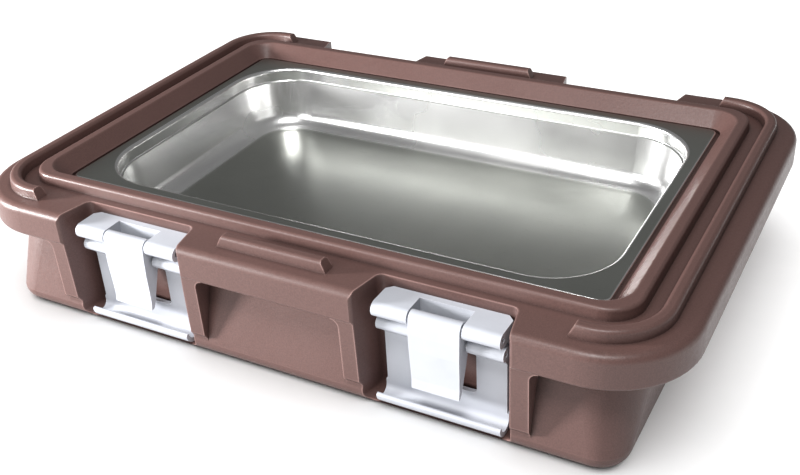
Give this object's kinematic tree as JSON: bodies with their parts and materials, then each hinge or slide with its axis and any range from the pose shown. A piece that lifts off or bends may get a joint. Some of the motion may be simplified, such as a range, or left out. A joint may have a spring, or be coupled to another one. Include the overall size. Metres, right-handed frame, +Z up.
{
  "type": "insulated food carrier",
  "caption": "Low insulated food carrier base with double-wall plastic body, raised sealing lip, hand recesses, over-centre draw latches and a lift-out steel food pan.",
  "frame": {"origin": "centre of the bottom face", "axes": "+X along the long side, the front is -Y, +Z up"},
  "size_m": [0.676, 0.47, 0.121],
  "materials": {
    "body_plastic": "speckled matt, rotomoulded",
    "foam": "rigid foam",
    "plug_plastic": "matt",
    "insert_brass": "knurled",
    "pan_steel": "satin flange, polished well",
    "latch_plastic": "smooth satin nylon",
    "pin_steel": "ground",
    "screw_steel": "satin"
  },
  "bodies": {
    "carrier": {"body_shell": "body_plastic", "foam_core": "foam", "foam_fill_plugs": "plug_plastic", "threaded_inserts": "insert_brass", "latch_bracket_front_left": "latch_plastic", "bracket_screws_front_left": "screw_steel", "lever_pin_front_left": "pin_steel", "latch_bracket_front_right": "latch_plastic", "bracket_screws_front_right": "screw_steel", "lever_pin_front_right": "pin_steel", "latch_bracket_rear_left": "latch_plastic", "bracket_screws_rear_left": "screw_steel", "lever_pin_rear_left": "pin_steel", "latch_bracket_rear_right": "latch_plastic", "bracket_screws_rear_right": "screw_steel", "lever_pin_rear_right": "pin_steel"},
    "pan": {"food_pan": "pan_steel"},
    "lever_front_left": {"latch_lever_front_left": "latch_plastic", "hook_pin_front_left": "pin_steel"},
    "hook_front_left": {"latch_hook_front_left": "latch_plastic"},
    "lever_front_right": {"latch_lever_front_right": "latch_plastic", "hook_pin_front_right": "pin_steel"},
    "hook_front_right": {"latch_hook_front_right": "latch_plastic"},
    "lever_rear_left": {"latch_lever_rear_left": "latch_plastic", "hook_pin_rear_left": "pin_steel"},
    "hook_rear_left": {"latch_hook_rear_left": "latch_plastic"},
    "lever_rear_right": {"latch_lever_rear_right": "latch_plastic", "hook_pin_rear_right": "pin_steel"},
    "hook_rear_right": {"latch_hook_rear_right": "latch_plastic"}
  },
  "joints": [
    {"name": "pan_lift", "type": "slide", "parent": "carrier", "child": "pan", "axis": [0, 0, 1], "range_m": [0, 0.15]},
    {"name": "lever_swing_front_left", "type": "hinge", "parent": "carrier", "child": "lever_front_left", "pos_m": [-0.1475, -0.223, 0.0955], "axis": [-1, 0, 0], "range_deg": [0, 100]},
    {"name": "hook_swing_front_left", "type": "hinge", "parent": "lever_front_left", "child": "hook_front_left", "pos_m": [-0.1475, -0.2175, 0.079], "axis": [-1, 0, 0], "range_deg": [0, 125]},
    {"name": "lever_swing_front_right", "type": "hinge", "parent": "carrier", "child": "lever_front_right", "pos_m": [0.1525, -0.223, 0.0955], "axis": [-1, 0, 0], "range_deg": [0, 100]},
    {"name": "hook_swing_front_right", "type": "hinge", "parent": "lever_front_right", "child": "hook_front_right", "pos_m": [0.1525, -0.2175, 0.079], "axis": [-1, 0, 0], "range_deg": [0, 125]},
    {"name": "lever_swing_rear_left", "type": "hinge", "parent": "carrier", "child": "lever_rear_left", "pos_m": [-0.1525, 0.223, 0.0955], "axis": [1, 0, 0], "range_deg": [0, 100]},
    {"name": "hook_swing_rear_left", "type": "hinge", "parent": "lever_rear_left", "child": "hook_rear_left", "pos_m": [-0.1525, 0.2175, 0.079], "axis": [1, 0, 0], "range_deg": [0, 125]},
    {"name": "lever_swing_rear_right", "type": "hinge", "parent": "carrier", "child": "lever_rear_right", "pos_m": [0.1475, 0.223, 0.0955], "axis": [1, 0, 0], "range_deg": [0, 100]},
    {"name": "hook_swing_rear_right", "type": "hinge", "parent": "lever_rear_right", "child": "hook_rear_right", "pos_m": [0.1475, 0.2175, 0.079], "axis": [1, 0, 0], "range_deg": [0, 125]}
  ]
}
